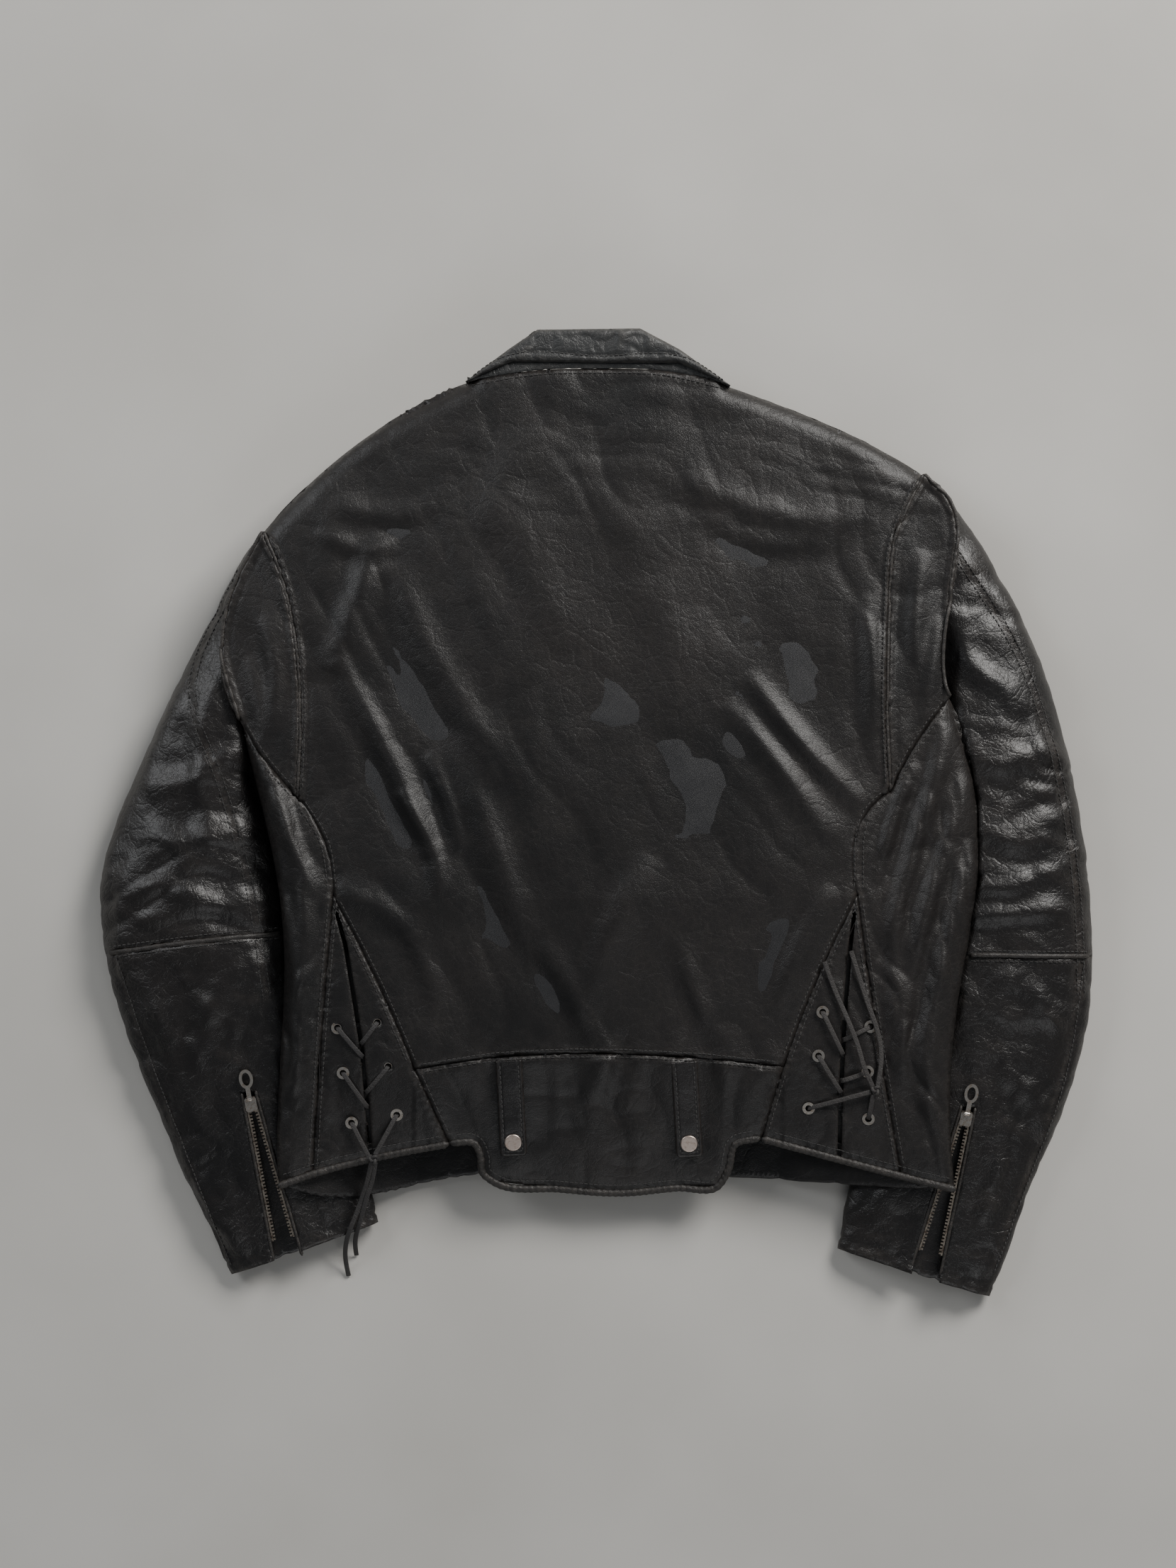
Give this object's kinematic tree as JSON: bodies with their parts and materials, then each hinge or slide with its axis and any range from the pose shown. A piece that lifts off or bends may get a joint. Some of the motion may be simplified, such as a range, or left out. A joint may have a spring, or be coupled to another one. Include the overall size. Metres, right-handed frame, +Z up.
{
  "type": "leather jacket",
  "caption": "Short leather jacket lying face down, with laced side panels, an extended back waistband, two snapped belt loops, a fold-down collar and zipped cuffs.",
  "frame": {"origin": "under the middle of the box of the jacket as it lies, on the surface that it lies on", "axes": "+Z up, out of the back of the jacket; +Y to the collar; -X is the wearer's left"},
  "size_m": [0.754, 0.733, 0.063],
  "materials": {
    "leather": "worn black, semi gloss",
    "collar_leather": "worn black, creased",
    "inner_leather": "black, matt",
    "lining": "satin",
    "lace": "worn black",
    "nickel": "aged nickel",
    "zip_metal": "aged",
    "zip_tape": "woven"
  },
  "bodies": {
    "jacket": {"back_panel": "leather", "collar_stand": "collar_leather", "eyelets_left": "nickel", "eyelets_right": "nickel", "front_left": "leather", "front_right": "leather", "front_zip_tape": "zip_tape", "front_zip_teeth": "zip_metal", "hanger_loop": "lining", "lace_knot_left": "lace", "lace_knot_right": "lace", "lace_left": "lace", "lace_right": "lace", "lace_tail_left_a": "lace", "lace_tail_left_b": "lace", "lace_tail_right_a": "lace", "lace_tail_right_b": "lace", "lacing_gusset_left": "inner_leather", "lacing_gusset_right": "inner_leather", "lacing_inner_left": "leather", "lacing_inner_right": "leather", "lacing_outer_left": "leather", "lacing_outer_right": "leather", "lapel_left": "leather", "lapel_right": "leather", "lining_back": "lining", "pleat_left": "leather", "pleat_right": "leather", "side_panel_left": "leather", "side_panel_right": "leather", "snap_stud_left": "nickel", "snap_stud_right": "nickel", "waistband": "leather"},
    "loop_left": {"belt_loop_left": "leather", "snap_cap_left": "nickel"},
    "loop_right": {"belt_loop_right": "leather", "snap_cap_right": "nickel"},
    "collar_fall": {"collar_leaf": "collar_leather"},
    "sleeve_left": {"cuff_gusset_left": "inner_leather", "cuff_zip_tape_left": "zip_tape", "cuff_zip_teeth_left": "zip_metal", "forearm_left": "leather", "sleeve_back_left": "leather", "sleeve_top_left": "leather"},
    "sleeve_right": {"cuff_gusset_right": "inner_leather", "cuff_zip_tape_right": "zip_tape", "cuff_zip_teeth_right": "zip_metal", "forearm_right": "leather", "sleeve_back_right": "leather", "sleeve_top_right": "leather"},
    "cuff_pull_left": {"cuff_zip_pull_left": "zip_metal"},
    "cuff_pull_right": {"cuff_zip_pull_right": "zip_metal"},
    "cuff_slider_left": {"cuff_zip_slider_left": "zip_metal"},
    "cuff_slider_right": {"cuff_zip_slider_right": "zip_metal"},
    "front_pull": {"front_zip_pull": "zip_metal"},
    "front_slider": {"front_zip_slider": "zip_metal"}
  },
  "joints": [
    {"name": "sleeve_left_swing", "type": "hinge", "parent": "jacket", "child": "sleeve_left", "pos_m": [-0.252, 0.214, 0.02], "axis": [0, 0, -1], "range_deg": [0, 40]},
    {"name": "sleeve_right_swing", "type": "hinge", "parent": "jacket", "child": "sleeve_right", "pos_m": [0.244, 0.257, 0.02], "axis": [0, 0, 1], "range_deg": [0, 40]},
    {"name": "collar_turn_up", "type": "hinge", "parent": "jacket", "child": "collar_fall", "pos_m": [0, 0.366, 0.04987], "axis": [-1, 0, 0], "range_deg": [0, 150]},
    {"name": "belt_loop_left_lift", "type": "hinge", "parent": "jacket", "child": "loop_left", "pos_m": [-0.0675, -0.18303, 0.05147], "axis": [-0.9989, -0.0468, -0.0072], "range_deg": [0, 90]},
    {"name": "belt_loop_right_lift", "type": "hinge", "parent": "jacket", "child": "loop_right", "pos_m": [0.064, -0.18403, 0.05139], "axis": [-0.9979, -0.0654, -0.0026], "range_deg": [0, 90]},
    {"name": "cuff_zip_left_slide", "type": "slide", "parent": "sleeve_left", "child": "cuff_slider_left", "axis": [0.1766, -0.9801, -0.0911], "range_m": [0, 0.098]},
    {"name": "cuff_zip_right_slide", "type": "slide", "parent": "sleeve_right", "child": "cuff_slider_right", "axis": [-0.1939, -0.9775, -0.083], "range_m": [0, 0.098]},
    {"name": "cuff_pull_left_swing", "type": "hinge", "parent": "cuff_slider_left", "child": "cuff_pull_left", "pos_m": [-0.26344, -0.21424, 0.03512], "axis": [0.9842, 0.1773, 0], "range_deg": [0, 150]},
    {"name": "cuff_pull_right_swing", "type": "hinge", "parent": "cuff_slider_right", "child": "cuff_pull_right", "pos_m": [0.27842, -0.22516, 0.03504], "axis": [0.9809, -0.1946, 0], "range_deg": [0, 150]},
    {"name": "front_zip_slide", "type": "slide", "parent": "jacket", "child": "front_slider", "axis": [0.0853, -0.9964, 0], "range_m": [0, 0.45]},
    {"name": "front_pull_swing", "type": "hinge", "parent": "front_slider", "child": "front_pull", "pos_m": [-0.06155, 0.19972, 0.00185], "axis": [-0.9964, -0.0853, 0], "range_deg": [0, 150]}
  ]
}
